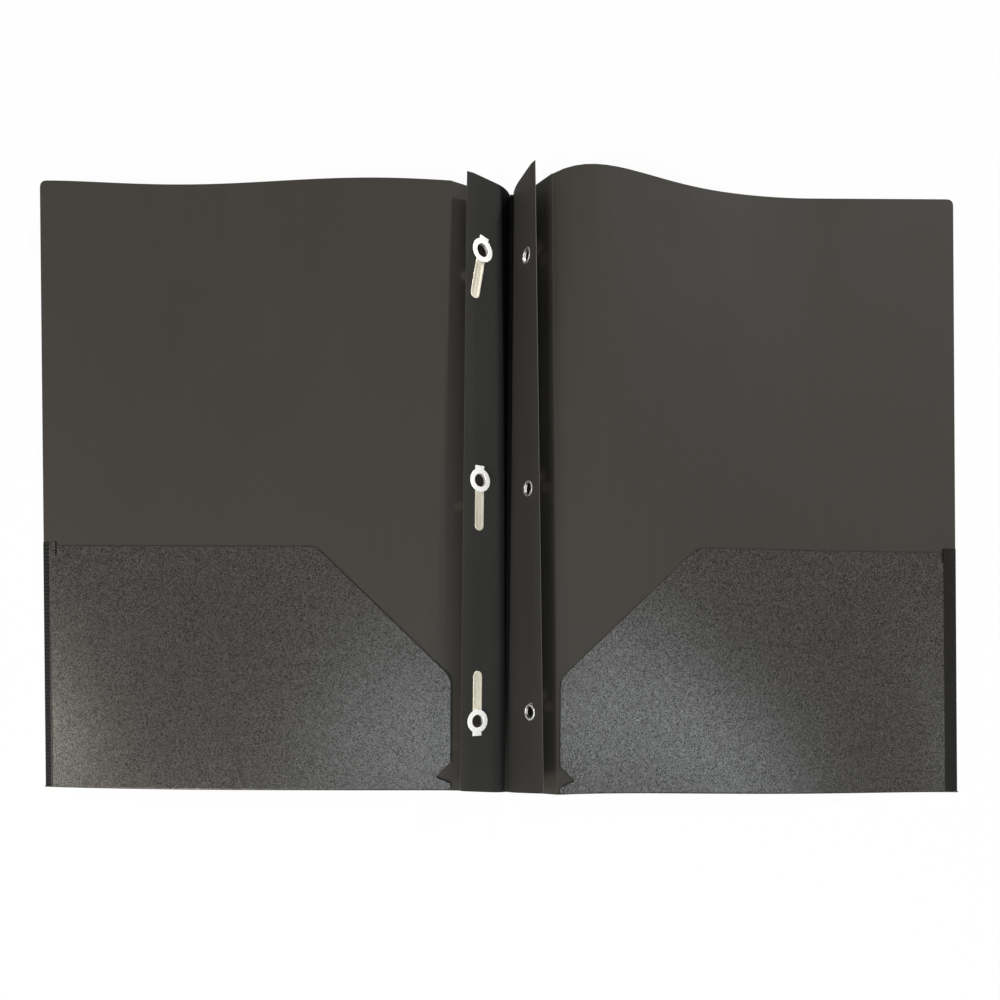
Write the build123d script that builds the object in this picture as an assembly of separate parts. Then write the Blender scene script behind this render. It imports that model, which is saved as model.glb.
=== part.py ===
from build123d import *
import os
from math import cos, radians, sin

# A two pocket folder lying open: +X to the back cover, +Y to the top edge, +Z up from the table.
# The origin is under the middle of the spine. Lengths are millimetres, angles degrees.

# Sheet
sheet_thickness = 0.5
folder_height = 296.2
front_reach = 230.0
front_top_draw = 1.6
back_reach = 225.0
back_top_draw = 3.6
cover_corner_radius = 3.5
fold_gap = 0.4
cut_overrun = 5.0

# Spine and the hinge strips that rise from it to the score lines
spine_width = 9.0
spine_overhang = 1.0
front_strip_width = 27.5
back_strip_width = 23.5
front_strip_angle_bottom = 7.0
front_strip_angle_top = 27.0
back_strip_angle_bottom = 33.0
back_strip_angle_top = 50.0

# Waves of the covers as they lie: heights above the table, and distances from the spine's middle
front_corner_lift = 11.0
front_wave_shares = (1.54, 1.68, -0.24, 1.14, 1.0)
front_bottom_shares = (1.3, 1.9, 2.0, 1.5, 0.0)
back_crest_lift = 26.7
back_wave_shares = (1.6, 0.18, 0.23, 0.0, 0.0)
back_bottom_shares = (0.2, 0.75, 0.9, 0.0, 0.0)
back_foot_top = 150.0
back_foot_margin = 3.0

# Pockets
pocket_height = 119.5
pocket_gap_bottom = 0.5
pocket_gap_mouth = 0.9
pocket_inner_margin = 1.0
front_pocket_overlap = 5.3
pocket_slope_start = 56.0
pocket_slope_run = 66.0
pocket_slope_radius = 9.0
pocket_notch_depth = 7.5
pocket_notch_low = 3.5
pocket_notch_high = 14.0
pocket_notch_tip_share = 0.3
weld_width = 3.0
weld_clearance = 0.02
weld_tab_width = 6.5
weld_tab_rise = 2.0
weld_relief_width = 1.5
weld_relief_depth = 5.0

# Fastener strip
base_width = 1.6
base_height = 1.5
base_offset_bottom = -0.2
base_offset_top = 0.7
flap_width = 28.0
flap_root_length = 10.5
flap_tip_length = 4.0
flap_end_slant = 3.7
front_flap_root_turn = 38.0
front_flap_tip_turn = 22.0
back_flap_root_turn = 19.5
back_flap_tip_turn = 17.0
front_flap_angle_bottom = 34.0
front_flap_angle_top = 36.0
back_flap_angle_bottom = 51.5
back_flap_angle_top = 67.5

# Holes, eyelets and prongs
hole_pitch = 107.95
middle_row_drop = 1.9
hole_from_edge = 8.4
prong_offset = 4.6
metal_seat = 0.06
eyelet_hole_clearance = 0.1
prong_eyelet_bore_radius = 3.1
prong_eyelet_flange_radius = 5.6
receiving_bore_radius = 2.9
receiving_rim_radius = 3.85
receiving_flange_radius = 5.0
eyelet_wall = 0.25
eyelet_rim = 0.45
eyelet_round = 0.15
clinch_width = 1.0
prong_thickness = 0.4
prong_width = 5.0
prong_eye_radius = 4.9
prong_stub_overhang = 1.5
prong_bend_gap = 0.15
tang_root_gap = 0.25
tang_length = 18.2
top_prong_skew = 10.0

FRONT = -1
BACK = 1
ROWS = ("bottom", "middle", "top")
half_height = folder_height / 2


def at(side, along, outward, up):
    """A point at a distance outward from the spine's middle, on the front or the back side."""
    return Vector(side * outward, along, up)


def mix(low, high, share):
    """The value at a share of the way from the bottom edge to the top edge."""
    return low + (high - low) * share


def along_of(share):
    """The place along the spine at a share of the folder's height."""
    return mix(-half_height, half_height, share)


def loop(points):
    """A closed wire of straight edges."""
    return Wire(Polyline(*points, close=True).edges())


def ruled(bottom, top):
    """The solid between two wires, straight from one to the other."""
    return Solid.make_loft([bottom, top], ruled=True)


def trim(solid, outline):
    """The part of a sheet inside an outline seen from above."""
    tall = back_crest_lift + front_corner_lift + cut_overrun
    return solid & extrude(outline, amount=tall, both=True)


# Hinge strips and score lines

def strip_angles(side):
    """A hinge strip's slope at the bottom edge and at the top edge."""
    if side == FRONT:
        return front_strip_angle_bottom, front_strip_angle_top
    return back_strip_angle_bottom, back_strip_angle_top


def strip_place(side, share, run, drop=0):
    """A point of a hinge strip at an end: a run from the spine, and a drop below its upper face."""
    angle = radians(strip_angles(side)[share])
    outward = spine_width / 2 + run * cos(angle) + drop * sin(angle)
    return outward, sheet_thickness + run * sin(angle) - drop * cos(angle)


def strip_width(side):
    return front_strip_width if side == FRONT else back_strip_width


def score_place(side, share):
    """How far out and how high the score line is at the bottom (0) or the top edge (1)."""
    return strip_place(side, share, strip_width(side))


def strip_wire(side, share):
    """A hinge strip's section at an edge; the bottom one runs down to the spine's end."""
    far = strip_width(side) - fold_gap
    score_out = score_place(side, share)[0]
    points = []
    for run, drop in ((fold_gap, 0), (far, 0), (far, sheet_thickness), (fold_gap, sheet_thickness)):
        outward, up = strip_place(side, share, run, drop)
        overhang = 0
        if share == 0:
            overhang = spine_overhang * (score_out - outward) / (score_out - spine_width / 2)
        points.append(at(side, along_of(share) - overhang, outward, up))
    return loop(points)


def hinge_strip(side):
    return ruled(strip_wire(side, 0), strip_wire(side, 1))


# Covers, pockets and what joins them follow one wavy profile

def reach(side, share):
    """How far out the outer edge is: the waves at the top edge draw it in."""
    if side == FRONT:
        return front_reach - front_top_draw * share
    return back_reach - back_top_draw * share


def profile_ends(side, end):
    """Control points of the cover's upper face at one edge, from the score line to the end of the wave."""
    score_out, score_up = score_place(side, end)
    if side == FRONT:
        foot, crest = reach(side, end), front_corner_lift if end else score_up
        shares = front_wave_shares if end else front_bottom_shares
    else:
        foot = back_foot_top if end else reach(side, end) - back_foot_margin
        crest = back_crest_lift if end else score_up
        shares = back_wave_shares if end else back_bottom_shares
    start = score_out + fold_gap
    points = [(start, score_up)]
    for count, share in enumerate(shares, 1):
        points.append((mix(start, foot, count / len(shares)), mix(sheet_thickness, crest, share)))
    return points


def profile(side, share):
    """Control points of the cover's upper face at a share of the folder's height."""
    pairs = zip(profile_ends(side, 0), profile_ends(side, 1))
    return [(mix(a[0], b[0], share), mix(a[1], b[1], share)) for a, b in pairs]


def skin_wire(side, share, low, high):
    """The section of a sheet that follows the cover's upper face, between two heights above it."""
    along = along_of(share)
    points = profile(side, share)
    foot_out, foot_up = points[-1]
    slope = (foot_up - points[-2][1]) / (foot_out - points[-2][0])
    end_out = reach(side, share) + cut_overrun
    end_up = foot_up + (end_out - foot_out) * slope
    edges = []
    for height in (low, high):
        edges.append(Bezier(*[at(side, along, x, z + height) for x, z in points]))
        edges.append(Line(edges[-1] @ 1, at(side, along, end_out, end_up + height)))
    edges.append(Line(edges[0] @ 0, edges[2] @ 0))
    edges.append(Line(edges[1] @ 1, edges[3] @ 1))
    return Wire(edges)


def skin(side, ends, lows, highs):
    """A sheet that follows the cover's upper face between two shares of the folder's height."""
    bottom = skin_wire(side, ends[0], lows[0], highs[0])
    top = skin_wire(side, ends[1], lows[1], highs[1])
    return ruled(bottom, top)


tab_top = pocket_height + weld_tab_rise
fold_share = sheet_thickness / folder_height
overrun_share = cut_overrun / folder_height
mouth_share = tab_top / folder_height + overrun_share


def edge_at(side, up):
    """How far out the outer edge is at a height above the bottom edge."""
    return reach(side, up / folder_height)


def outline(side, places, corners=(), radius=0):
    """A face seen from above from places outward and up from the bottom edge, with some corners rounded."""
    points = [(side * out, up - half_height) for out, up in places]
    face = make_face(Polyline(*points, close=True))
    for corner in corners:
        face = fillet(face.vertices().sort_by_distance(points[corner])[0], radius)
    return face


def cover(side):
    """A cover panel, from its score line to its outer edge, with a rounded top outer corner."""
    sheet = skin(side, (fold_share, 1 + overrun_share), (-sheet_thickness,) * 2, (0, 0))
    inner = spine_width / 2
    places = [(inner, 0), (edge_at(side, 0), 0), (edge_at(side, folder_height), folder_height),
              (inner, folder_height)]
    return trim(sheet, outline(side, places, (2,), cover_corner_radius))


def pocket_inner(side):
    """How far out a pocket's outline begins; the front one passes the score line, where the panel ends."""
    overlap = front_pocket_overlap if side == FRONT else 0
    return max(score_place(side, 0)[0], score_place(side, 1)[0]) + fold_gap + pocket_inner_margin - overlap


def pocket_outline(side):
    """A pocket's outline seen from above: notch, sloped corner, straight mouth and weld tab."""
    inner = pocket_inner(side)
    notch_tip = mix(pocket_notch_low, pocket_notch_high, pocket_notch_tip_share)
    relief_low = pocket_height - weld_relief_depth
    tab = edge_at(side, pocket_height) - weld_tab_width
    relief = tab - weld_relief_width
    places = [(inner, 0), (inner, pocket_notch_low), (inner + pocket_notch_depth, notch_tip),
              (inner, pocket_notch_high), (inner, pocket_slope_start),
              (inner + pocket_slope_run, pocket_height), (relief, pocket_height), (relief, relief_low),
              (tab, relief_low), (tab, tab_top), (edge_at(side, tab_top), tab_top), (edge_at(side, 0), 0)]
    return outline(side, places, (4, 5), pocket_slope_radius)


def gaps():
    """The space between cover and pocket at the bottom fold and at the mouth."""
    return pocket_gap_bottom, pocket_gap_mouth


def pocket(side):
    """A pocket panel, lying a little above its cover."""
    lows = gaps()
    highs = [low + sheet_thickness for low in lows]
    return trim(skin(side, (fold_share, mouth_share), lows, highs), pocket_outline(side))


def bottom_fold(side):
    """The folded bottom edge that joins a cover to its pocket."""
    high = pocket_gap_bottom + sheet_thickness
    sheet = skin(side, (0, fold_share), (-sheet_thickness,) * 2, (high, high))
    inner = pocket_inner(side)
    ends = (-cut_overrun, cut_overrun)
    places = [(inner, ends[0]), (inner, ends[1])] + [(edge_at(side, up), up) for up in reversed(ends)]
    return trim(sheet, outline(side, places))


def pocket_weld(side):
    """The weld that joins a pocket's outer edge to its cover."""
    lows = (weld_clearance, weld_clearance)
    highs = [gap - weld_clearance for gap in gaps()]
    sheet = skin(side, (fold_share, mouth_share), lows, highs)
    ends = (-cut_overrun, tab_top)
    places = [(edge_at(side, up) - weld_width, up) for up in ends]
    places += [(edge_at(side, up), up) for up in reversed(ends)]
    return trim(sheet, outline(side, places))


# Spine and the base of the fastener strip

def spine_strip():
    """The flat strip between the two hinge strips."""
    strip = extrude(Rectangle(spine_width, folder_height + spine_overhang), amount=sheet_thickness)
    return Pos(0, -spine_overhang / 2) * strip


base_top = sheet_thickness + base_height


def end_along(share):
    """Where the fastener strip ends at its root: past the bottom edge, or at the top edge."""
    return along_of(share) if share else along_of(share) - spine_overhang


def base_edge(side, share):
    """How far out the base's edge is, where a flap rises from it: the base leans over the spine."""
    return base_width / 2 + side * mix(base_offset_bottom, base_offset_top, share)


def base_wire(share):
    points = []
    for side, up in ((FRONT, sheet_thickness), (BACK, sheet_thickness), (BACK, base_top), (FRONT, base_top)):
        points.append(at(side, end_along(share), base_edge(side, share), up))
    return loop(points)


def fastener_base():
    """The welded bottom of the fastener strip."""
    return ruled(base_wire(0), base_wire(1))


# Flaps of the fastener strip

def flap_angles(side):
    """A flap's slope in its flat middle, at the bottom end and at the top end."""
    if side == FRONT:
        return front_flap_angle_bottom, front_flap_angle_top
    return back_flap_angle_bottom, back_flap_angle_top


def flap_turns(side):
    """How far a flap leans outward along its curved root and along its curved tip."""
    if side == FRONT:
        return front_flap_root_turn, front_flap_tip_turn
    return back_flap_root_turn, back_flap_tip_turn


def bend(outward, up, angle, length, radius):
    """Where a curve that leans outward ends after a length, and its slope there."""
    end = angle - length / radius
    return outward + radius * (sin(angle) - sin(end)), up + radius * (cos(end) - cos(angle)), end


def flap_place(side, share, run, drop=0):
    """A point of a flap at an end: a run from its root, and a drop below its inner face."""
    root_turn, tip_turn = [radians(turn) for turn in flap_turns(side)]
    in_root = min(run, flap_root_length)
    in_tip = max(0, run - flap_width + flap_tip_length)
    flat = run - in_root - in_tip
    angle = radians(flap_angles(side)[share]) + root_turn
    root_radius = flap_root_length / root_turn
    outward, up, angle = bend(base_edge(side, share), base_top, angle, in_root, root_radius)
    outward += flat * cos(angle)
    up += flat * sin(angle)
    outward, up, angle = bend(outward, up, angle, in_tip, flap_tip_length / tip_turn)
    return outward + drop * sin(angle), up - drop * cos(angle)


def flap_wire(side, share):
    """A flap's section at an end; the bottom end slants up from the spine's end to the free edge."""
    root_out = base_edge(side, share)
    tip_out = flap_place(side, share, flap_width)[0]
    slant = 0 if share else flap_end_slant

    def point(run, drop):
        outward, up = flap_place(side, share, run, drop)
        slant_share = (outward - root_out) / (tip_out - root_out)
        return at(side, end_along(share) + slant * slant_share, outward, up)

    tip_start = flap_width - flap_tip_length
    bends = ((fold_gap, flap_root_length), (tip_start, flap_width))
    edges = []
    for drop in (0, sheet_thickness):
        for start, end in bends:
            edges.append(ThreePointArc(*[point(run, drop) for run in (start, (start + end) / 2, end)]))
        edges.append(Line(point(flap_root_length, drop), point(tip_start, drop)))
    for run in (fold_gap, flap_width):
        edges.append(Line(point(run, 0), point(run, sheet_thickness)))
    return Wire(edges)


def hole_along(row):
    """Where a row of holes is along the spine."""
    drop = middle_row_drop if row == "middle" else 0
    return (ROWS.index(row) - 1) * hole_pitch - drop


def prong_along(row):
    """A prong's eyelet stands a little off its row, on the side away from its tang."""
    return hole_along(row) - prong_offset if row == "bottom" else hole_along(row) + prong_offset


def flap_frame(side, along):
    """The plane of a flap's inner face at its hole: X towards the top edge, Z out of the face."""
    share = (along + half_height) / folder_height
    run = flap_width - hole_from_edge
    bottom = at(side, -half_height, *flap_place(side, 0, run))
    top = at(side, half_height, *flap_place(side, 1, run))
    root = (at(side, -half_height, *flap_place(side, 0, flap_root_length)) * (1 - share)
            + at(side, half_height, *flap_place(side, 1, flap_root_length)) * share)
    centre = bottom * (1 - share) + top * share
    up_flap = (centre - root).normalized()
    lengthwise = (top - bottom).normalized()
    normal = lengthwise.cross(up_flap) * -side
    return Plane(origin=centre, x_dir=lengthwise, z_dir=normal)


def flap(side):
    """One flap of the fastener strip, with a hole at each row."""
    sheet = ruled(flap_wire(side, 0), flap_wire(side, 1))
    for row in ROWS:
        along = prong_along(row) if side == FRONT else hole_along(row)
        bore = prong_eyelet_bore_radius if side == FRONT else receiving_bore_radius
        hole = Cylinder(bore + eyelet_wall + eyelet_hole_clearance, cut_overrun)
        sheet -= flap_frame(side, along) * hole
    return sheet


# Eyelets and prongs

def eyelet(frame, bore, front_radius, front_low, back_radius):
    """A rolled eyelet: a thin barrel with a rim on the inner face and one behind the flap."""
    wall = bore + eyelet_wall
    back_high = -sheet_thickness - metal_seat
    front_high = front_low + eyelet_rim
    back_low = back_high - eyelet_rim
    points = [(bore, back_low), (back_radius, back_low), (back_radius, back_high), (wall, back_high),
              (wall, front_low), (front_radius, front_low), (front_radius, front_high), (bore, front_high)]
    face = make_face(Plane.XZ * Polyline(*points, close=True))
    rounded = [Vector(r, 0, z) for r, z in (points[0], points[1], points[6], points[7])]
    corners = [face.vertices().sort_by_distance(corner)[0] for corner in rounded]
    return frame * revolve(fillet(corners, eyelet_round), Axis.Z)


def prong_eyelet(row):
    low = metal_seat + prong_thickness + metal_seat
    bore = prong_eyelet_bore_radius
    back_radius = bore + eyelet_wall + clinch_width
    return eyelet(flap_frame(FRONT, prong_along(row)), bore, prong_eyelet_flange_radius, low, back_radius)


def receiving_eyelet(row):
    frame = flap_frame(BACK, hole_along(row))
    return eyelet(frame, receiving_bore_radius, receiving_rim_radius, metal_seat, receiving_flange_radius)


def prong_frame(row):
    """The plane under a prong, with X along its tang: down the folder, or up it in the bottom row."""
    turn = 0 if row == "bottom" else 180
    if row == "top":
        turn -= top_prong_skew
    return flap_frame(FRONT, prong_along(row)) * Pos(0, 0, metal_seat) * Rot(0, 0, turn)


bend_run = prong_eyelet_flange_radius + tang_root_gap


def prong_base(row):
    """A prong's eye under the eyelet's flange, with a square stub on the far side."""
    stub = prong_eyelet_flange_radius + prong_stub_overhang
    length = stub + bend_run - prong_bend_gap
    bar = Pos((length / 2 - stub), 0) * Rectangle(length, prong_width)
    hole = Circle(prong_eyelet_bore_radius + eyelet_wall + eyelet_hole_clearance)
    plate = bar + Circle(prong_eye_radius) - hole
    return prong_frame(row) * extrude(plate, amount=prong_thickness)


def prong_tang(row):
    """A prong's flat tang with a round end."""
    straight = tang_length - prong_width / 2
    bar = Pos(bend_run + straight / 2, 0) * Rectangle(straight, prong_width)
    plate = bar + Pos(bend_run + straight, 0) * Circle(prong_width / 2)
    return prong_frame(row) * extrude(plate, amount=prong_thickness)


nodes = {
    "spine_strip": spine_strip(),
    "fastener_base": fastener_base(),
}
for name, side in (("front", FRONT), ("back", BACK)):
    nodes[f"{name}_hinge_strip"] = hinge_strip(side)
    nodes[f"{name}_cover"] = cover(side)
    nodes[f"{name}_pocket"] = pocket(side)
    nodes[f"{name}_bottom_fold"] = bottom_fold(side)
    nodes[f"{name}_pocket_weld"] = pocket_weld(side)
    nodes[f"{name}_flap"] = flap(side)
for row in ROWS:
    nodes[f"prong_base_{row}"] = prong_base(row)
    nodes[f"prong_tang_{row}"] = prong_tang(row)
    nodes[f"prong_eyelet_{row}"] = prong_eyelet(row)
    nodes[f"receiving_eyelet_{row}"] = receiving_eyelet(row)

os.makedirs("parts", exist_ok=True)
for name, solid in nodes.items():
    export_step(solid, f"parts/{name}.step")
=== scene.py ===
from functools import partial
from math import asin, comb, cos, degrees, pi, radians, sin

import bmesh
import bpy
import numpy as np
from mathutils import Matrix, Vector
from mathutils.geometry import delaunay_2d_cdt

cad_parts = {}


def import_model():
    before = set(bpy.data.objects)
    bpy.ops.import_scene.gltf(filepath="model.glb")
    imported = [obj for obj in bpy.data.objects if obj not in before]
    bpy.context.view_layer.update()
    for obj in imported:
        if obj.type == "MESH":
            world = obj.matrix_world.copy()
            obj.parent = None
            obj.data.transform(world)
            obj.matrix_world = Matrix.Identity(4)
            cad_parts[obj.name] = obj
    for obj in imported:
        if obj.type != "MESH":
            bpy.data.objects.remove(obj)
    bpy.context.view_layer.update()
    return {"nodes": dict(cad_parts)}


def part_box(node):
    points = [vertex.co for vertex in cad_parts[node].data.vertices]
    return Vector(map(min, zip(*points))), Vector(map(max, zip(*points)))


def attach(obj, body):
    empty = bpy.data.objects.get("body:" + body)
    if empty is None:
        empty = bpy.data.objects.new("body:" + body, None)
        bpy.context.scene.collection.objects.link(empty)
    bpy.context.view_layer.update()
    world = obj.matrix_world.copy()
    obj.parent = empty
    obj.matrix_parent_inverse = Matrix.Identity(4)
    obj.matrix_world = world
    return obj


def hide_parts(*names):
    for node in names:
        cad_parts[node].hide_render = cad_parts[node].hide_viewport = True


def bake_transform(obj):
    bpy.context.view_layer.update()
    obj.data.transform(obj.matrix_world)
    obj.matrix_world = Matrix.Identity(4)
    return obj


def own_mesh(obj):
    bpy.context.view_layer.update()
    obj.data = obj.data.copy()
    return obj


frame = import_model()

# A two pocket folder lying open: sheet panels with rounded folds, welded pockets, flaps and metal prongs.
# Lengths are metres, angles degrees. +X is to the back cover, +Y to the top edge, +Z up.
# In each pair of values for two ends, the first is for the bottom edge and the second for the top edge.

# Sheet, as in the solids
FRONT = -1
BACK = 1
side_names = {FRONT: "front", BACK: "back"}
sheet_thickness = 0.0005
fold_gap = 0.0004
half_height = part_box("front_cover")[1].y
folder_height = 2 * half_height
reaches = {FRONT: -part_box("front_cover")[0].x, BACK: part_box("back_cover")[1].x}
top_draws = {FRONT: 0.0016, BACK: 0.0036}
cover_corner_radius = 0.0035

# Spine and hinge strips
spine_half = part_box("spine_strip")[1].x
spine_overhang = -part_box("spine_strip")[0].y - half_height
strip_widths = {FRONT: 0.0275, BACK: 0.0235}
strip_angles = {FRONT: (7, 27), BACK: (33, 50)}
web_reach = 0.0006
web_thickness = 0.0004
web_sink = (sheet_thickness - web_thickness) / 2

# Waves of the covers
front_corner_lift = 0.011
back_crest_lift = 0.0267
back_foot_margin = 0.003
back_foot_top = 0.150
wave_shares = {
    FRONT: ((1.3, 1.9, 2.0, 1.5, 0.0), (1.54, 1.68, -0.24, 1.14, 1.0)),
    BACK: ((0.2, 0.75, 0.9, 0.0, 0.0), (1.6, 0.18, 0.23, 0.0, 0.0)),
}

# Pockets
pocket_height = 0.1195
pocket_gap_bottom = 0.0005
pocket_gap_mouth = 0.00025
pocket_inner_margin = 0.001
pocket_overlaps = {FRONT: 0.0053, BACK: 0.0}
pocket_slope_start = 0.056
pocket_slope_run = 0.066
pocket_slope_radius = 0.009
pocket_notch_depth = 0.0075
pocket_notch_low = 0.0035
pocket_notch_high = 0.014
pocket_notch_tip_share = 0.3
notch_round = 0.0012
fold_inner_radius = pocket_gap_bottom / 2
fold_radius = sheet_thickness + fold_inner_radius

# Welds along the outer edges of the pockets
weld_width = 0.003
weld_tab_width = 0.0065
weld_tab_inner = weld_tab_width - weld_width
weld_tab_slope = 0.0014
weld_tab_rise = 0.002
weld_relief_width = 0.0008
weld_relief_depth = 0.005
weld_relief_round = weld_relief_width / 3
weld_starts = {FRONT: weld_tab_inner, BACK: 0.0}
weld_ridge_pitch = 0.00185
weld_ridge_height = 0.00016
weld_ridge_fade = 0.0005
weld_press = 0.0003

# Flaps of the fastener strip
base_half = 0.0008
base_offsets = (-0.0002, 0.0007)
base_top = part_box("fastener_base")[1].z
flap_width = 0.028
flap_root_length = 0.0105
flap_tip_length = 0.004
flap_end_slant = 0.0037
flap_root_turns = {FRONT: 38, BACK: 19.5}
flap_tip_turns = {FRONT: 22, BACK: 17}
flap_angles = {FRONT: (34, 36), BACK: (51.5, 67.5)}

# Painted shade along the root of the flaps, near black where the deep V lies in shadow
painted_shade_black = (0.0006, 0.0006, 0.0006)
painted_shade_heights = {FRONT: 0.0048, BACK: 0.0028}
painted_shade_rises = {FRONT: 0.027, BACK: 0.0127}
painted_shade_fade = 0.002

# Holes and prongs
rows = ("bottom", "middle", "top")
hole_pitch = 0.10795
middle_row_drop = 0.0019
hole_from_edge = 0.0084
hole_radii = {FRONT: 0.00345, BACK: 0.00325}
metal_seat = 0.00006
prong_offset = 0.0046
prong_thickness = 0.0004
prong_width = 0.005
prong_eye_radius = 0.0049
prong_flange_radius = 0.0056
prong_stub_overhang = 0.0015
top_prong_skew = 10
tang_length = 0.0182
tang_root_gap = 0.00025
tang_bend_run = prong_flange_radius + tang_root_gap
tang_web = 0.0006
tang_recess_margin = 0.0009
tang_recess_slope = 0.0003
tang_recess_depth = 0.00005

# Mesh fineness
cover_spacing = 0.005
strip_spacing = 0.003
prong_spacing = 0.0008
tang_spacing = 0.0004
edge_clear_share = 0.5
merge_distance = 1e-9
curve_halvings = 40
fold_steps = 4
ridge_steps = 8
tab_steps = 6
weld_steps = 8
bead_step = 15
bead_crisp_angle = 50
edge_round = 0.00012
fine_round = 0.00006
seam_round = 0.000015
round_angle = 55
round_segments = 2

# Floor, surround and camera; the lens and sensor are in millimetres
floor_half = 4.0
floor_drop = 0.0003
floor_white_share = 0.94
surround_strength = 0.01
camera_place = (-0.003658, -0.078447, 0.367633)
camera_sensor = 36
camera_lens = 26.456
camera_roll = 0.346
camera_shift = 0.15
camera_near = 0.01


def mix(low, high, share):
    """The value at a share of the way from low to high."""
    return low + (high - low) * share


def clamp(value):
    """The value, kept from 0 to 1."""
    return max(0, min(1, value))


def eased(share):
    """A share that starts and ends gently."""
    return share * share * (3 - 2 * share)


def spread(low, high, spacing):
    """Evenly spaced values from low to high."""
    count = max(1, round((high - low) / spacing))
    return [mix(low, high, i / count) for i in range(count + 1)]


def rounding(first, corner, last, share):
    """A point of the curve that rounds a corner."""
    return first.lerp(corner, share).lerp(corner.lerp(last, share), share)


def share_of(up):
    """The share of the folder's height at a height above the bottom edge."""
    return up / folder_height


# Where the covers and hinge strips lie

def strip_end(side, end, run):
    """A point of a hinge strip's upper face at the bottom (0) or top (1) edge, a run out from the spine."""
    angle = radians(strip_angles[side][end])
    out = spine_half + run * cos(angle)
    along = half_height
    if end == 0:
        along = -half_height - spine_overhang * (1 - run / strip_widths[side])
    return Vector((side * out, along, sheet_thickness + run * sin(angle)))


def strip_point(side, run, share):
    """A point of a hinge strip's upper face at a share of the folder's height."""
    return strip_end(side, 0, run).lerp(strip_end(side, 1, run), share)


def score_end(side, end):
    """The bottom or top end of the score line between a hinge strip and its cover."""
    return strip_end(side, end, strip_widths[side])


def cover_start(side, end):
    """How far out a cover starts, just past its score line."""
    return abs(score_end(side, end).x) + fold_gap


def reach(side, share):
    """How far out a cover's outer edge is: the waves at the top edge draw it in."""
    return reaches[side] - top_draws[side] * share


def edge_at(side, up):
    """How far out a cover's outer edge is at a height above the bottom edge."""
    return reach(side, share_of(up))


def profile_end(side, end):
    """Control points, outward and up, of a cover's upper face at the bottom (0) or top (1) edge."""
    score_up = score_end(side, end).z
    if side == FRONT:
        foot = reach(side, end)
        crest = front_corner_lift if end else score_up
    else:
        foot = back_foot_top if end else reach(side, end) - back_foot_margin
        crest = back_crest_lift if end else score_up
    start = cover_start(side, end)
    points = [(start, score_up)]
    shares = wave_shares[side][end]
    for count, share in enumerate(shares, 1):
        points.append((mix(start, foot, count / len(shares)), mix(sheet_thickness, crest, share)))
    return np.array(points)


profiles = {side: [profile_end(side, end) for end in (0, 1)] for side in (FRONT, BACK)}


def bezier(points, t):
    """Points of the curves with these control points, one curve and one t for each row."""
    degree = points.shape[1] - 1
    weights = [comb(degree, i) * t ** i * (1 - t) ** (degree - i) for i in range(degree + 1)]
    return sum(weight[:, None] * points[:, i] for i, weight in enumerate(weights))


def cover_up(side, out, share):
    """Heights of a cover's upper face at distances out and shares of the folder's height."""
    low, high = profiles[side]
    points = mix(low[None], high[None], share[:, None, None])
    below, above = np.zeros_like(out), np.ones_like(out)
    for _ in range(curve_halvings):
        middle = (below + above) / 2
        short = bezier(points, middle)[:, 0] < out
        below, above = np.where(short, middle, below), np.where(short, above, middle)
    up = bezier(points, below)[:, 1]
    first_step = points[:, 1] - points[:, 0]
    last_step = points[:, -1] - points[:, -2]
    before = np.maximum(points[:, 0, 0] - out, 0)
    past = np.maximum(out - points[:, -1, 0], 0)
    return up + past * last_step[:, 1] / last_step[:, 0] - before * first_step[:, 1] / first_step[:, 0]


def cover_points(side, flat, lift=0.0):
    """Places on a cover, from (out, up from the bottom edge) pairs, a lift above its upper face."""
    out, up = flat[:, 0], flat[:, 1]
    height = cover_up(side, out, np.clip(share_of(up), 0, 1)) + lift
    return np.stack([side * out, up - half_height, height], axis=1)


def turn_over(side, turn, share):
    """A point of the rounded turn from a hinge strip into its cover, a share of the way round it."""
    before = strip_point(side, strip_widths[side] - web_reach, share)
    score = strip_point(side, strip_widths[side], share)
    flat = np.array([(abs(score.x) + fold_gap, share * folder_height)])
    after = Vector(cover_points(side, flat)[0])
    after.y = score.y
    return rounding(before, score, after, turn)


def web_point(side, turn, share):
    """A point of the fold between the spine and a hinge strip, a share of the way round it."""
    corner = strip_point(side, 0, share)
    before = corner - Vector((side * web_reach, 0, 0))
    after = strip_point(side, web_reach, share)
    return rounding(before, corner, after, turn) - Vector((0, 0, web_sink))


# Where the flaps and prongs lie

def base_edge(side, end):
    """How far out the base's edge is, where a flap rises from it."""
    return base_half + side * base_offsets[end]


def bend(out, up, angle, length, radius):
    """Where a curve that leans outward ends after a length, and its slope there."""
    end = angle - length / radius
    return out + radius * (sin(angle) - sin(end)), up + radius * (cos(end) - cos(angle)), end


def flap_end(side, end, run):
    """A point of a flap's inner face at an end, a run out from the base."""
    root_turn, tip_turn = radians(flap_root_turns[side]), radians(flap_tip_turns[side])
    in_root = min(run, flap_root_length)
    in_tip = max(0, run - flap_width + flap_tip_length)
    flat = run - in_root - in_tip
    angle = radians(flap_angles[side][end]) + root_turn
    out, up, angle = bend(base_edge(side, end), base_top, angle, in_root, flap_root_length / root_turn)
    out += flat * cos(angle)
    up += flat * sin(angle)
    out, up, _ = bend(out, up, angle, in_tip, flap_tip_length / tip_turn)
    return Vector((side * out, 0, up))


def flap_point(side, run, share):
    """A point of a flap's inner face; its bottom end slants up from the spine's end to the free edge."""
    point = flap_end(side, 0, run).lerp(flap_end(side, 1, run), share)
    slant = flap_end_slant * run / flap_width - spine_overhang
    point.y = mix(-half_height + slant, half_height, share)
    return point


def hole_along(row):
    """Where a row of holes is along the spine."""
    drop = middle_row_drop if row == "middle" else 0
    return (rows.index(row) - 1) * hole_pitch - drop


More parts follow.
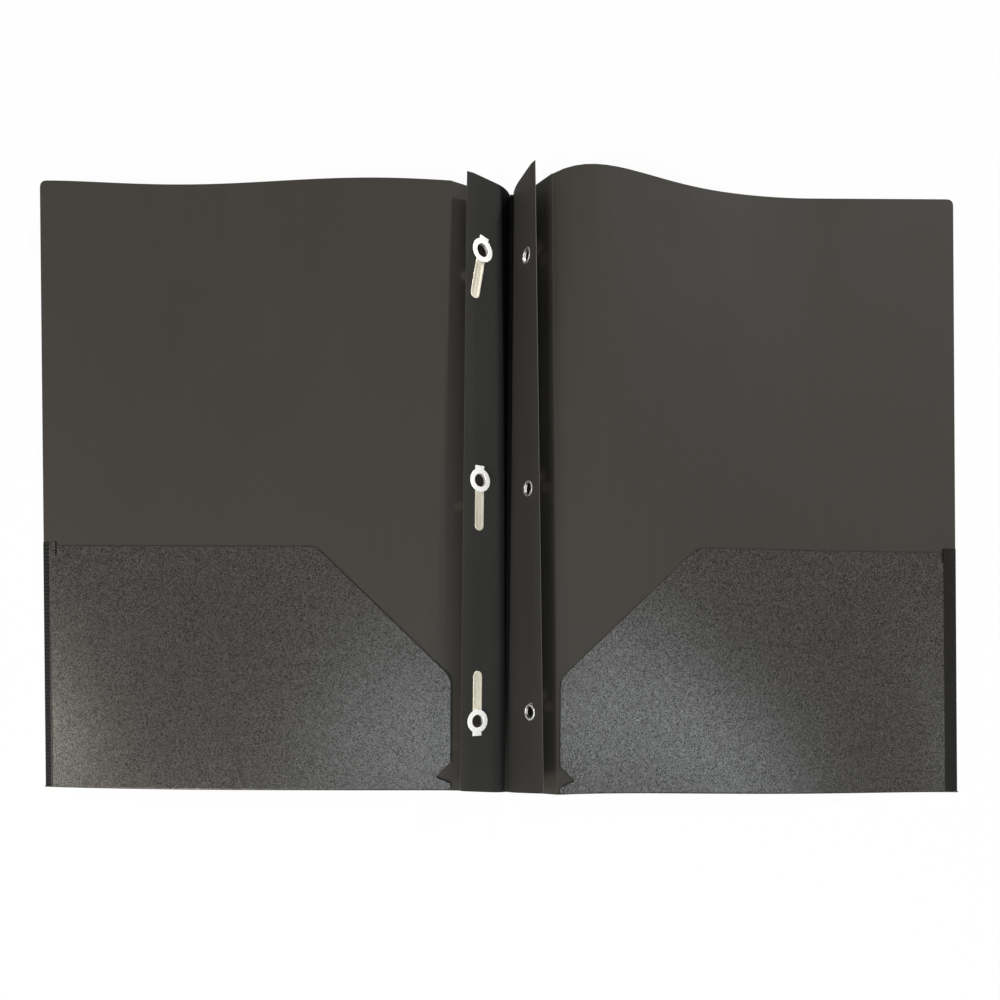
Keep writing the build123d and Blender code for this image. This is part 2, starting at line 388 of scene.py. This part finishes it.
def prong_along(row):
    """A prong's eyelet stands a little off its row, on the side away from its tang."""
    return hole_along(row) - prong_offset if row == "bottom" else hole_along(row) + prong_offset


def flap_frame(side, along):
    """The matrix of a flap's inner face at a hole: X towards the top edge, Z out of the face."""
    share = share_of(along + half_height)
    run = flap_width - hole_from_edge
    ends = [flap_end(side, end, run) for end in (0, 1)]
    for end, point in enumerate(ends):
        point.y = half_height if end else -half_height
    roots = [flap_end(side, end, flap_root_length) for end in (0, 1)]
    centre = ends[0].lerp(ends[1], share)
    root = roots[0].lerp(roots[1], share)
    root.y = centre.y
    lengthwise = (ends[1] - ends[0]).normalized()
    normal = lengthwise.cross((centre - root).normalized()) * -side
    across = normal.cross(lengthwise)
    return Matrix.Translation(centre) @ Matrix((lengthwise, across, normal)).transposed().to_4x4()


def prong_frame(row):
    """The matrix under a prong, with X along its tang."""
    turn = 0 if row == "bottom" else 180
    if row == "top":
        turn -= top_prong_skew
    seat = Matrix.Translation((0, 0, metal_seat))
    return flap_frame(FRONT, prong_along(row)) @ seat @ Matrix.Rotation(radians(turn), 4, "Z")


# Flat outlines and their filling

def arc(centre, radius, start, end, steps):
    """Points of an arc between two angles."""
    turns = [radians(mix(start, end, i / steps)) for i in range(steps + 1)]
    return [(centre[0] + radius * cos(t), centre[1] + radius * sin(t)) for t in turns]


def circle(centre, radius, steps=40):
    """Points of a whole circle."""
    return arc(centre, radius, 0, 360, steps)[:-1]


def rounded(points, radii, steps=8):
    """A closed outline with some of its corners rounded: radii maps a corner's index to its radius."""
    outline = []
    for i, point in enumerate(points):
        here = Vector(point)
        if i not in radii:
            outline.append(tuple(here))
            continue
        back = (Vector(points[i - 1]) - here).normalized()
        on = (Vector(points[(i + 1) % len(points)]) - here).normalized()
        half = back.angle(on) / 2
        length = radii[i] * cos(half) / sin(half)
        first, last = here + back * length, here + on * length
        outline += [tuple(rounding(first, here, last, step / steps)) for step in range(steps + 1)]
    return outline


def divided(outline, spacing):
    """The outline with its long edges divided."""
    points = []
    for here, there in zip(outline, outline[1:] + outline[:1]):
        here, there = Vector(here), Vector(there)
        count = max(1, round((there - here).length / spacing))
        points += [tuple(here.lerp(there, i / count)) for i in range(count)]
    return points


def inside(points, loop):
    """Which points lie inside a closed loop."""
    starts = np.array(loop)
    ends = np.roll(starts, -1, axis=0)
    x, y = points[:, :1], points[:, 1:]
    spans = (starts[:, 1] > y) != (ends[:, 1] > y)
    run, rise = (ends - starts).T
    crossing = starts[:, 0] + (y - starts[:, 1]) / np.where(rise == 0, 1, rise) * run
    return (spans & (x < crossing)).sum(axis=1) % 2 == 1


def clearance(points, loop):
    """How far each point is from a closed loop's edges."""
    starts = np.array(loop)
    edges = np.roll(starts, -1, axis=0) - starts
    offsets = points[:, None] - starts[None]
    squares = np.maximum((edges ** 2).sum(1), merge_distance ** 2)
    shares = np.clip((offsets * edges).sum(2) / squares, 0, 1)
    return np.linalg.norm(offsets - shares[..., None] * edges, axis=2).min(axis=1)


def fill(outline, spacing, holes=()):
    """Even triangles inside an outline and outside its holes: their corners, and their indices."""
    loops = [divided(outline, spacing)] + list(holes)
    low, high = np.min(loops[0], axis=0), np.max(loops[0], axis=0)
    grid = []
    for row, y in enumerate(np.arange(low[1], high[1], spacing * sin(pi / 3))):
        start = low[0] + (row % 2) * spacing / 2
        grid += [(x, y) for x in np.arange(start, high[0], spacing)]
    grid = np.array(grid)
    keep = inside(grid, loops[0])
    for hole in holes:
        keep &= ~inside(grid, hole)
    points, edges = [], []
    for loop in loops:
        keep &= clearance(grid, loop) > spacing * edge_clear_share
        first = len(points)
        points += loop
        edges += [(first + i, first + (i + 1) % len(loop)) for i in range(len(loop))]
    points += [tuple(p) for p in grid[keep]]
    inside_only = 1
    found = delaunay_2d_cdt([Vector(p) for p in points], edges, [], inside_only, merge_distance)
    corners = np.array([tuple(v) for v in found[0]])
    faces = np.array(found[2])
    for hole in holes:
        faces = faces[~inside(corners[faces].mean(axis=1), hole)]
    return corners, faces.tolist()


# Making pieces

def link(name, mesh, materials):
    """An object with smooth faces and its materials."""
    obj = bpy.data.objects.new(name, mesh)
    bpy.context.scene.collection.objects.link(obj)
    for material in materials:
        mesh.materials.append(material)
    mesh.polygons.foreach_set("use_smooth", [True] * len(mesh.polygons))
    return obj


def surface(name, points, faces, materials):
    """An open mesh whose faces look up on the whole."""
    mesh = bpy.data.meshes.new(name)
    mesh.from_pydata([tuple(p) for p in points], [], faces)
    mesh.update()
    if sum(face.normal.z * face.area for face in mesh.polygons) < 0:
        mesh.flip_normals()
    return link(name, mesh, materials)


def grid_faces(across, along, closed=False):
    """Quads between rows of points, so many across; closed also joins the two ends of each row."""
    faces = []
    for row in range(along - 1):
        for i in range(across if closed else across - 1):
            here = row * across + i
            there = row * across + (i + 1) % across
            faces.append((here, there, there + across, here + across))
    return faces


def strip_surface(name, columns):
    """An open mesh along the folder's height: each column gives a point at a share of that height."""
    shares = spread(0, 1, share_of(strip_spacing))
    points = [column(share) for share in shares for column in columns]
    return surface(name, points, grid_faces(len(columns), len(shares)), inside_up)


def thicken(obj, thickness, inward=True, round_width=edge_round):
    """Gives an open mesh a thickness behind (inward) or in front of its faces, with rounded edges."""
    solid = obj.modifiers.new("thickness", "SOLIDIFY")
    solid.thickness = thickness
    solid.offset = -1 if inward else 1
    solid.use_even_offset = True
    # Three materials are for the face, the far side and the edge
    if len(obj.data.materials) > 2:
        solid.material_offset = 1
        solid.material_offset_rim = 2
    soft = obj.modifiers.new("rounding", "BEVEL")
    soft.width = round_width
    soft.segments = round_segments
    soft.limit_method = "ANGLE"
    soft.angle_limit = radians(round_angle)
    soft.harden_normals = True


def closed_mesh(name, points, faces):
    """A closed mesh with its faces turned outward."""
    mesh = bpy.data.meshes.new(name)
    mesh.from_pydata([tuple(p) for p in points], [], faces)
    shape = bmesh.new()
    shape.from_mesh(mesh)
    bmesh.ops.recalc_face_normals(shape, faces=shape.faces)
    shape.to_mesh(mesh)
    shape.free()
    return mesh


# Nodes of the materials

def node_material(name, metallic=0.0, specular=0.5):
    """A material, its node tree and its shader."""
    material = bpy.data.materials.new(name)
    material.use_nodes = True
    tree = material.node_tree
    shader = tree.nodes["Principled BSDF"]
    shader.inputs["Metallic"].default_value = metallic
    shader.inputs["Specular IOR Level"].default_value = specular
    return material, tree, shader


def object_coordinates(tree):
    """Places on the object, in metres."""
    return tree.nodes.new("ShaderNodeTexCoord").outputs["Object"]


def noise(tree, vector, scale, detail, roughness=0.5):
    """Soft random values; a larger scale makes smaller patches."""
    node = tree.nodes.new("ShaderNodeTexNoise")
    node.inputs["Scale"].default_value = scale
    node.inputs["Detail"].default_value = detail
    node.inputs["Roughness"].default_value = roughness
    tree.links.new(vector, node.inputs["Vector"])
    return node.outputs["Fac"]


def pebbles(tree, vector, scale):
    """A random tone for each of many small pebbles, and the distance from its middle."""
    node = tree.nodes.new("ShaderNodeTexVoronoi")
    node.inputs["Scale"].default_value = scale
    tree.links.new(vector, node.inputs["Vector"])
    return node.outputs["Color"], node.outputs["Distance"]


def stretched(tree, vector, scales):
    """Places scaled by a factor for each axis."""
    node = tree.nodes.new("ShaderNodeMapping")
    node.inputs["Scale"].default_value = scales
    tree.links.new(vector, node.inputs["Vector"])
    return node.outputs["Vector"]


def ranged(tree, value, low, high, span=(0, 1)):
    """A value moved from one span to another range."""
    node = tree.nodes.new("ShaderNodeMapRange")
    node.inputs["From Min"].default_value = span[0]
    node.inputs["From Max"].default_value = span[1]
    node.inputs["To Min"].default_value = low
    node.inputs["To Max"].default_value = high
    tree.links.new(value, node.inputs["Value"])
    return node.outputs["Result"]


def combined(tree, operation, first, second):
    """A sum, product or like of two values, each a socket or a number."""
    node = tree.nodes.new("ShaderNodeMath")
    node.operation = operation
    for socket, value in zip(node.inputs, (first, second)):
        if isinstance(value, (int, float)):
            socket.default_value = value
        else:
            tree.links.new(value, socket)
    return node.outputs["Value"]


def weighted(tree, *parts):
    """The sum of (value, weight) pairs."""
    products = [combined(tree, "MULTIPLY", value, weight) for value, weight in parts]
    total = products[0]
    for product in products[1:]:
        total = combined(tree, "ADD", total, product)
    return total


def tint(tree, shader, factor, stops):
    """Colours along a factor: stops are (position, colour) pairs."""
    node = tree.nodes.new("ShaderNodeValToRGB")
    elements = node.color_ramp.elements
    while len(elements) < len(stops):
        elements.new(1)
    for element, (position, colour) in zip(elements, stops):
        element.position = position
        element.color = (*colour, 1)
    tree.links.new(factor, node.inputs["Fac"])
    tree.links.new(node.outputs["Color"], shader.inputs["Base Color"])


def vary(tree, shader, socket, value, low, high):
    """An input of the shader that goes from low to high with a value."""
    tree.links.new(ranged(tree, value, low, high), shader.inputs[socket])


def bump(tree, shader, height, distance, strength):
    """Fine relief from a height."""
    node = tree.nodes.new("ShaderNodeBump")
    node.inputs["Distance"].default_value = distance
    node.inputs["Strength"].default_value = strength
    tree.links.new(height, node.inputs["Height"])
    tree.links.new(node.outputs["Normal"], shader.inputs["Normal"])


def painted_shade_share(tree, place, side):
    """From 0 in the painted shade at the root of a flap to 1 above it; the painted shade reaches higher at
    the top edge.
    """
    node = tree.nodes.new("ShaderNodeVectorMath")
    node.operation = "DOT_PRODUCT"
    node.inputs[1].default_value = (0, -painted_shade_rises[side], 1)
    tree.links.new(place, node.inputs[0])
    low = painted_shade_heights[side]
    return ranged(tree, node.outputs["Value"], 0, 1, span=(low, low + painted_shade_fade))


# Materials

def sheet_inside(name, dark, light, specular, shaded_side=None):
    """The smooth matte inside of a sheet, with faint clouding and lengthwise streaks; for a flap's side it
    also has painted shade, near black, along the flap's root.
    """
    material, tree, shader = node_material(name, specular=specular)
    place = object_coordinates(tree)
    cloud = noise(tree, place, scale=22, detail=3)
    streak = noise(tree, stretched(tree, place, (420, 9, 9)), scale=1, detail=3, roughness=0.6)
    tooth = noise(tree, place, scale=2600, detail=2, roughness=0.6)
    tone = weighted(tree, (cloud, 0.4), (streak, 0.25), (tooth, 0.35))
    # Painted shade: a flap's root is darkened to near black, where the deep V lies in shadow
    if shaded_side is not None:
        tone = combined(tree, "MULTIPLY", tone, painted_shade_share(tree, place, shaded_side))
    tint(tree, shader, tone, ((0, painted_shade_black), (0.3, dark), (0.7, light)))
    vary(tree, shader, "Roughness", cloud, 0.55, 0.72)
    bump(tree, shader, tooth, distance=0.00003, strength=0.5)
    return material


def sheet_grain():
    """The grained outside of the sheet: a fine sand texture with a soft sheen."""
    material, tree, shader = node_material("sheet_grain")
    place = object_coordinates(tree)
    cloud = noise(tree, place, scale=18, detail=2)
    tone, hollow = pebbles(tree, place, scale=2600)
    speck = ranged(tree, tone, 0, 1, span=(0.15, 0.85))
    tint(tree, shader, speck, ((0, (0.009, 0.0081, 0.0067)), (1, (0.042, 0.038, 0.0322))))
    vary(tree, shader, "Roughness", cloud, 0.24, 0.3)
    vary(tree, shader, "Specular IOR Level", speck, 0.12, 0.6)
    bump(tree, shader, combined(tree, "SUBTRACT", tone, hollow), distance=0.000025, strength=0.8)
    return material


def sheet_edge():
    """The cut edge of the sheet, paler than its faces, with nicks."""
    material, tree, shader = node_material("sheet_edge")
    nick = noise(tree, object_coordinates(tree), scale=700, detail=3, roughness=0.7)
    tint(tree, shader, nick, ((0.3, (0.045, 0.043, 0.039)), (0.75, (0.09, 0.087, 0.081))))
    vary(tree, shader, "Roughness", nick, 0.4, 0.65)
    bump(tree, shader, nick, distance=0.00005, strength=0.5)
    return material


def weld_plastic():
    """Sheet that was melted together: darker and duller, with small unevenness."""
    material, tree, shader = node_material("weld_plastic", specular=0.1)
    flow = noise(tree, object_coordinates(tree), scale=900, detail=3, roughness=0.6)
    tint(tree, shader, flow, ((0.3, (0.0055, 0.005, 0.0045)), (0.7, (0.012, 0.011, 0.01))))
    vary(tree, shader, "Roughness", flow, 0.36, 0.55)
    bump(tree, shader, flow, distance=0.00006, strength=0.5)
    return material


def nickel(name, dark, light, smooth, rough):
    """Nickel plate with fine wear."""
    material, tree, shader = node_material(name, metallic=1.0)
    wear = noise(tree, object_coordinates(tree), scale=1600, detail=4, roughness=0.65)
    tint(tree, shader, wear, ((0.3, dark), (0.7, light)))
    vary(tree, shader, "Roughness", wear, smooth, rough)
    bump(tree, shader, wear, distance=0.00002, strength=0.4)
    return material


def plated_steel():
    """Pale brassy plate on the tangs, lightly brushed along their length."""
    material, tree, shader = node_material("plated_steel", metallic=1.0)
    place = object_coordinates(tree)
    brush = noise(tree, stretched(tree, place, (3200, 160, 3200)), scale=1, detail=3, roughness=0.6)
    blotch = noise(tree, place, scale=260, detail=3, roughness=0.6)
    tone = weighted(tree, (brush, 0.5), (blotch, 0.5))
    tint(tree, shader, tone, ((0.3, (0.64, 0.595, 0.465)), (0.7, (0.81, 0.775, 0.655))))
    vary(tree, shader, "Roughness", brush, 0.26, 0.46)
    bump(tree, shader, brush, distance=0.00002, strength=0.5)
    return material


inside_dark, inside_light = (0.0286, 0.0257, 0.0217), (0.0392, 0.0355, 0.0307)
inside_face = sheet_inside("sheet_inside", inside_dark, inside_light, specular=0.22)
flap_dark, flap_light = (0.0298, 0.0292, 0.0278), (0.0408, 0.04, 0.0384)
# The flaps' materials carry painted shade along their roots
flap_faces_with_painted_shade = {
    side: sheet_inside(f"{name}_flap_sheet", flap_dark, flap_light, specular=0.06, shaded_side=side)
    for side, name in side_names.items()
}
outside_face = sheet_grain()
cut_edge = sheet_edge()
weld_face = weld_plastic()
rim_face = nickel("rim_nickel", (0.52, 0.51, 0.49), (0.68, 0.67, 0.65), smooth=0.24, rough=0.4)
flange_face = nickel("flange_nickel", (0.82, 0.81, 0.79), (0.95, 0.945, 0.93), smooth=0.4, rough=0.56)
tang_face = plated_steel()
inside_up = (inside_face, outside_face, cut_edge)
grain_up = (outside_face, inside_face, cut_edge)


# Covers and pockets

def pocket_inner(side):
    """How far out a pocket's inner edge is; the front one lies over the score line."""
    clear = max(cover_start(side, end) for end in (0, 1))
    return clear + pocket_inner_margin - pocket_overlaps[side]


def pocket_start(side):
    """Where the part of a pocket that stays with its cover starts: its inner edge, or the score line."""
    return max(pocket_inner(side), cover_start(side, 0))


def pocket_gap(up):
    """The space under a pocket at a height above the bottom edge."""
    return mix(pocket_gap_bottom, pocket_gap_mouth, up / pocket_height)


def flatten(obj):
    """Gives a piece that rides a cover its own copy of its mesh."""
    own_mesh(obj)


def cover_sheet(side):
    """A cover, from its score line to its outer edge; it ends in the bead along the bottom."""
    name = side_names[side]
    low, high, start = cover_start(side, 0), cover_start(side, 1), pocket_start(side)
    corners = [(edge_at(side, folder_height), folder_height), (high, folder_height)]
    if start > low:
        corners += [(low, 0), (start, 0)]
    corners += [(start, fold_radius), (edge_at(side, fold_radius), fold_radius)]
    flat, faces = fill(rounded(corners, {0: cover_corner_radius}), cover_spacing)
    obj = surface(f"{name}_cover_sheet", cover_points(side, flat), faces, inside_up)
    thicken(obj, sheet_thickness)
    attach(obj, f"{name}_cover")
    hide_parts(f"{name}_cover")
    flatten(obj)


def pocket_piece(name, side, corners, radii):
    """A piece of a pocket's sheet from the corners of its outline."""
    flat, faces = fill(rounded(corners, radii), cover_spacing)
    points = cover_points(side, flat, pocket_gap(flat[:, 1]))
    obj = surface(name, points, faces, grain_up)
    thicken(obj, sheet_thickness, inward=False, round_width=seam_round)
    return obj


def pocket_sheet(side):
    """A pocket, with its notch, sloped corner and mouth, as far as the tab beside the weld."""
    name = side_names[side]
    inner, start = pocket_inner(side), pocket_start(side)
    past = start - inner
    notch_share = past / pocket_notch_depth
    notch_tip = mix(pocket_notch_low, pocket_notch_high, pocket_notch_tip_share)
    notch_low = mix(pocket_notch_low, notch_tip, notch_share)
    notch_high = mix(pocket_notch_high, notch_tip, notch_share)
    slope_low = mix(pocket_slope_start, pocket_height, past / pocket_slope_run)
    relief_low = pocket_height - weld_relief_depth
    tab = edge_at(side, pocket_height) - weld_tab_width
    relief = tab - weld_relief_width
    corners = [(start, fold_radius), (start, notch_low), (inner + pocket_notch_depth, notch_tip),
               (start, notch_high), (start, slope_low), (inner + pocket_slope_run, pocket_height),
               (relief, pocket_height), (relief, relief_low), (tab, relief_low),
               (edge_at(side, fold_radius) - weld_tab_width, fold_radius)]
    radii = {2: notch_round, 5: pocket_slope_radius, 7: weld_relief_round}
    if past == 0:
        radii |= {1: notch_round, 3: notch_round, 4: pocket_slope_radius}
    obj = pocket_piece(f"{name}_pocket_sheet", side, corners, radii)
    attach(obj, f"{name}_cover")
    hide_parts(f"{name}_pocket")
    flatten(obj)
    if past > 0:
        upper = [(start, notch_high), (inner, pocket_notch_high),
                 (inner, pocket_slope_start), (start, slope_low)]
        lower = [(start, fold_radius), (inner, fold_radius),
                 (inner, pocket_notch_low), (start, notch_low)]
        pocket_lip(f"{name}_pocket_lip_upper", side, upper, {1: notch_round, 2: pocket_slope_radius})
        pocket_lip(f"{name}_pocket_lip_lower", side, lower, {2: notch_round})


def pocket_lip(lip_name, side, corners, radii):
    """A part of a pocket that lies over the score line."""
    obj = pocket_piece(lip_name, side, corners, radii)
    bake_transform(obj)


def fold_bead(side):
    """The rounded fold along the bottom edge, between a cover and its pocket."""
    name = side_names[side]
    turns = [radians(angle) for angle in spread(-90, 90, bead_step)]
    section = []
    for radius, path in ((fold_radius, turns), (fold_inner_radius, turns[::-1])):
        section += [(fold_radius - radius * cos(t), fold_inner_radius + radius * sin(t)) for t in path]
    ups, lifts = np.array(section).T
    outs = spread(pocket_start(side), edge_at(side, 0), cover_spacing)
    rings = [cover_points(side, np.stack([np.full_like(ups, out), ups], axis=1), lifts) for out in outs]
    around, last = len(section), len(section) * (len(rings) - 1)
    faces = grid_faces(around, len(rings), closed=True)
    faces += [tuple(range(around)), tuple(range(last, last + around))]
    mesh = closed_mesh(f"{name}_fold_bead", np.concatenate(rings), faces)
    obj = link(f"{name}_fold_bead", mesh, (outside_face,))
    mesh.set_sharp_from_angle(angle=radians(bead_crisp_angle))
    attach(obj, f"{name}_cover")
    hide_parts(f"{name}_bottom_fold")
    flatten(obj)


def weld_lift(up, run):
    """The height of the tab and its ridged weld above the cover, a run out from the tab's inner edge."""
    drop = eased(clamp(1 + (run - weld_tab_inner) / weld_tab_slope))
    level = mix(pocket_gap(up) + sheet_thickness, weld_press, drop)
    wave = (1 - cos(2 * pi * up / weld_ridge_pitch)) / 2
    rim = min(run - weld_tab_inner, weld_tab_width - run)
    return level + weld_ridge_height * wave * clamp(rim / weld_ridge_fade)


def weld_ridges(side):
    """The outer edge of a pocket: a tab that slopes down to the weld, which is pressed into ridges."""
    name = side_names[side]
    ups = spread(fold_radius, pocket_height + weld_tab_rise, weld_ridge_pitch / ridge_steps)
    runs = spread(0, weld_tab_inner, weld_tab_inner / tab_steps)
    runs += spread(weld_tab_inner, weld_tab_width, weld_width / weld_steps)[1:]
    points = []
    for up in ups:
        flat = np.array([(edge_at(side, up) - weld_tab_width + run, up) for run in runs])
        points.append(cover_points(side, flat, np.array([weld_lift(up, run) for run in runs])))
    faces = grid_faces(len(runs), len(ups))
    obj = surface(f"{name}_weld_ridges", np.concatenate(points), faces, (outside_face, weld_face))
    welded = [run >= weld_starts[side] for run in runs[:-1]]
    for index, face in enumerate(obj.data.polygons):
        face.material_index = int(welded[index % len(welded)])
    thicken(obj, sheet_thickness, round_width=fine_round)
    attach(obj, f"{name}_cover")
    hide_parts(f"{name}_pocket_weld")
    flatten(obj)


# Hinge strips, spine and flaps

def hinge_strip_sheet(side):
    """A hinge strip that turns over the score line into its cover."""
    name = side_names[side]
    runs = [fold_gap] + spread(strip_spacing, strip_widths[side] - web_reach, strip_spacing)
    columns = [partial(strip_point, side, run) for run in runs]
    columns += [partial(turn_over, side, turn) for turn in spread(0, 1, 1 / fold_steps)[1:]]
    obj = strip_surface(f"{name}_hinge_sheet", columns)
    thicken(obj, sheet_thickness, round_width=seam_round)
    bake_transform(obj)
    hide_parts(f"{name}_hinge_strip")


def spine_web(side):
    """The fold between the spine and a hinge strip."""
    name = side_names[side]
    columns = [partial(web_point, side, turn) for turn in spread(0, 1, 1 / fold_steps)]
    obj = strip_surface(f"{name}_spine_web", columns)
    thicken(obj, web_thickness, round_width=fine_round)
    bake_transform(obj)


def flap_sheet(side):
    """A flap with its holes; its root turns into the base."""
    name = side_names[side]
    outline = [(0, 0), (flap_width, 0), (flap_width, folder_height), (0, folder_height)]
    alongs = [prong_along(row) if side == FRONT else hole_along(row) for row in rows]
    centres = [(flap_width - hole_from_edge, along + half_height) for along in alongs]
    holes = [circle(centre, hole_radii[side]) for centre in centres]
    flat, faces = fill(outline, strip_spacing, holes)
    points = [flap_point(side, run, share_of(up)) for run, up in flat]
    obj = surface(f"{name}_flap_sheet", points, faces, (flap_faces_with_painted_shade[side], flap_faces_with_painted_shade[side], cut_edge))
    thicken(obj, sheet_thickness)
    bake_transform(obj)
    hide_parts(f"{name}_flap")


# Prongs

def prong_base_plate(row):
    """The eye of a prong under its eyelet, with a square stub on the far side."""
    half = prong_width / 2
    stub = prong_flange_radius + prong_stub_overhang
    corner = degrees(asin(half / prong_eye_radius))
    upper = arc((0, 0), prong_eye_radius, corner, 180 - corner, steps=16)
    lower = arc((0, 0), prong_eye_radius, 180 + corner, 360 - corner, steps=16)
    outline = [(prong_flange_radius, half)] + upper + [(-stub, half), (-stub, -half)] + lower
    outline.append((prong_flange_radius, -half))
    flat, faces = fill(outline, prong_spacing, [circle((0, 0), hole_radii[FRONT])])
    place = prong_frame(row)
    points = [place @ Vector((x, y, prong_thickness)) for x, y in flat]
    obj = surface(f"prong_plate_{row}", points, faces, (flange_face,))
    thicken(obj, prong_thickness)
    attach(obj, "front_flap")
    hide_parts(f"prong_base_{row}")


def prong_tang_plate(row):
    """A tang with a round end and a shallow recess along it; its root overlaps the edge of the eye a
    little.
    """
    half = prong_width / 2
    root = tang_bend_run - tang_web
    tip = tang_bend_run + tang_length - half
    outline = [(root, -half)] + arc((tip, 0), half, -90, 90, steps=20) + [(root, half)]
    flat, faces = fill(outline, tang_spacing)
    sink = np.clip((clearance(flat, outline) - tang_recess_margin) / tang_recess_slope, 0, 1)
    sink[flat[:, 0] < tang_bend_run + tang_recess_margin] = 0
    heights = prong_thickness - tang_recess_depth * sink
    place = prong_frame(row)
    points = [place @ Vector((x, y, height)) for (x, y), height in zip(flat, heights)]
    obj = surface(f"prong_tang_{row}_plate", points, faces, (tang_face,))
    thicken(obj, prong_thickness)
    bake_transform(obj)
    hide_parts(f"prong_tang_{row}")


for side in (FRONT, BACK):
    cover_sheet(side)
    pocket_sheet(side)
    fold_bead(side)
    weld_ridges(side)
    hinge_strip_sheet(side)
    spine_web(side)
    flap_sheet(side)
for row in rows:
    prong_base_plate(row)
    prong_tang_plate(row)


# Solids that keep their shape

def dress(node, material, underside=None):
    """Gives a solid its material, and its lower faces another one if there is one."""
    mesh = frame["nodes"][node].data
    mesh.materials.clear()
    mesh.materials.append(material)
    if underside is not None:
        mesh.materials.append(underside)
        for face in mesh.polygons:
            face.material_index = 1 if face.normal.z < 0 else 0


dress("spine_strip", inside_face, underside=outside_face)
# The base takes the front flap's material, and with it the painted shade, which darkens it towards near
# black
dress("fastener_base", flap_faces_with_painted_shade[FRONT])
for row in rows:
    dress(f"prong_eyelet_{row}", flange_face)
    dress(f"receiving_eyelet_{row}", rim_face)


# Floor, light and camera

def seen_directly(tree):
    """1 for straight, mirrored and passing rays of the camera, and 0 for the light on the object."""
    path = tree.nodes.new("ShaderNodeLightPath").outputs
    mirrored = combined(tree, "MAXIMUM", path["Is Glossy Ray"], path["Is Transmission Ray"])
    return combined(tree, "MAXIMUM", path["Is Camera Ray"], mirrored)


def mixed_surface(tree, factor, first, second, output):
    """Mixes two shaders by a factor, for an output's surface."""
    node = tree.nodes.new("ShaderNodeMixShader")
    tree.links.new(factor, node.inputs["Fac"])
    tree.links.new(first, node.inputs[1])
    tree.links.new(second, node.inputs[2])
    tree.links.new(node.outputs["Shader"], tree.nodes[output].inputs["Surface"])


def floor():
    """A pale floor that the camera sees as white, with a soft shadow."""
    mesh = bpy.data.meshes.new("floor")
    signs = ((-1, -1), (1, -1), (1, 1), (-1, 1))
    corners = [(x * floor_half, y * floor_half, -floor_drop) for x, y in signs]
    mesh.from_pydata(corners, [], [(0, 1, 2, 3)])
    material = bpy.data.materials.new("floor_white")
    material.use_nodes = True
    tree = material.node_tree
    tree.nodes.remove(tree.nodes["Principled BSDF"])
    diffuse = tree.nodes.new("ShaderNodeBsdfDiffuse")
    diffuse.inputs["Color"].default_value = (0.9, 0.9, 0.9, 1)
    glow = tree.nodes.new("ShaderNodeEmission")
    glow.inputs["Color"].default_value = (1, 1, 1, 1)
    white = combined(tree, "MULTIPLY", seen_directly(tree), floor_white_share)
    mixed_surface(tree, white, diffuse.outputs["BSDF"], glow.outputs["Emission"], "Material Output")
    link("floor", mesh, (material,))


def world():
    """An even pale surround that the camera sees as white."""
    surround = bpy.data.worlds.new("surround")
    surround.use_nodes = True
    tree = surround.node_tree
    light = tree.nodes["Background"]
    light.inputs["Color"].default_value = (0.9, 0.95, 1.0, 1)
    light.inputs["Strength"].default_value = surround_strength
    white = tree.nodes.new("ShaderNodeBackground")
    white.inputs["Color"].default_value = (1, 1, 1, 1)
    mixed_surface(tree, seen_directly(tree), light.outputs["Background"], white.outputs["Background"],
                  "World Output")
    bpy.context.scene.world = surround


def lamp(name, place, target, size, power, colour):
    """A soft box, with its width and height, aimed at a point."""
    data = bpy.data.lights.new(name, "AREA")
    data.shape = "RECTANGLE"
    data.size, data.size_y = size
    data.energy = power
    data.color = colour
    obj = bpy.data.objects.new(name, data)
    obj.location = place
    obj.rotation_euler = (Vector(target) - Vector(place)).to_track_quat("-Z", "Y").to_euler()
    bpy.context.scene.collection.objects.link(obj)


def camera():
    """A camera that looks straight down, as in the photograph."""
    data = bpy.data.cameras.new("camera")
    data.sensor_width = camera_sensor
    data.lens = camera_lens
    data.shift_y = camera_shift
    data.clip_start = camera_near
    obj = bpy.data.objects.new("camera", data)
    obj.location = camera_place
    obj.rotation_euler = (0, 0, radians(camera_roll))
    bpy.context.scene.collection.objects.link(obj)
    bpy.context.scene.camera = obj


floor()
world()
lamp("left", place=(-1.35, -1.85, 2.15), target=(0, 0, 0), size=(1.0, 1.0), power=70,
     colour=(1.0, 0.94, 0.86))
lamp("edge", place=(-2.4, -0.6, 2.0), target=(-0.2, -0.1, 0), size=(0.5, 0.5), power=15,
     colour=(1.0, 0.92, 0.82))
lamp("right", place=(1.9, 2.1, 1.9), target=(0, 0, 0), size=(0.3, 0.3), power=42,
     colour=(1.0, 0.98, 0.95))
lamp("front", place=(0.4, -0.5, 1.9), target=(0.4, -0.5, 0), size=(1.6, 0.26), power=16,
     colour=(0.86, 0.94, 1.0))
camera()
bpy.context.scene.view_settings.view_transform = "Standard"
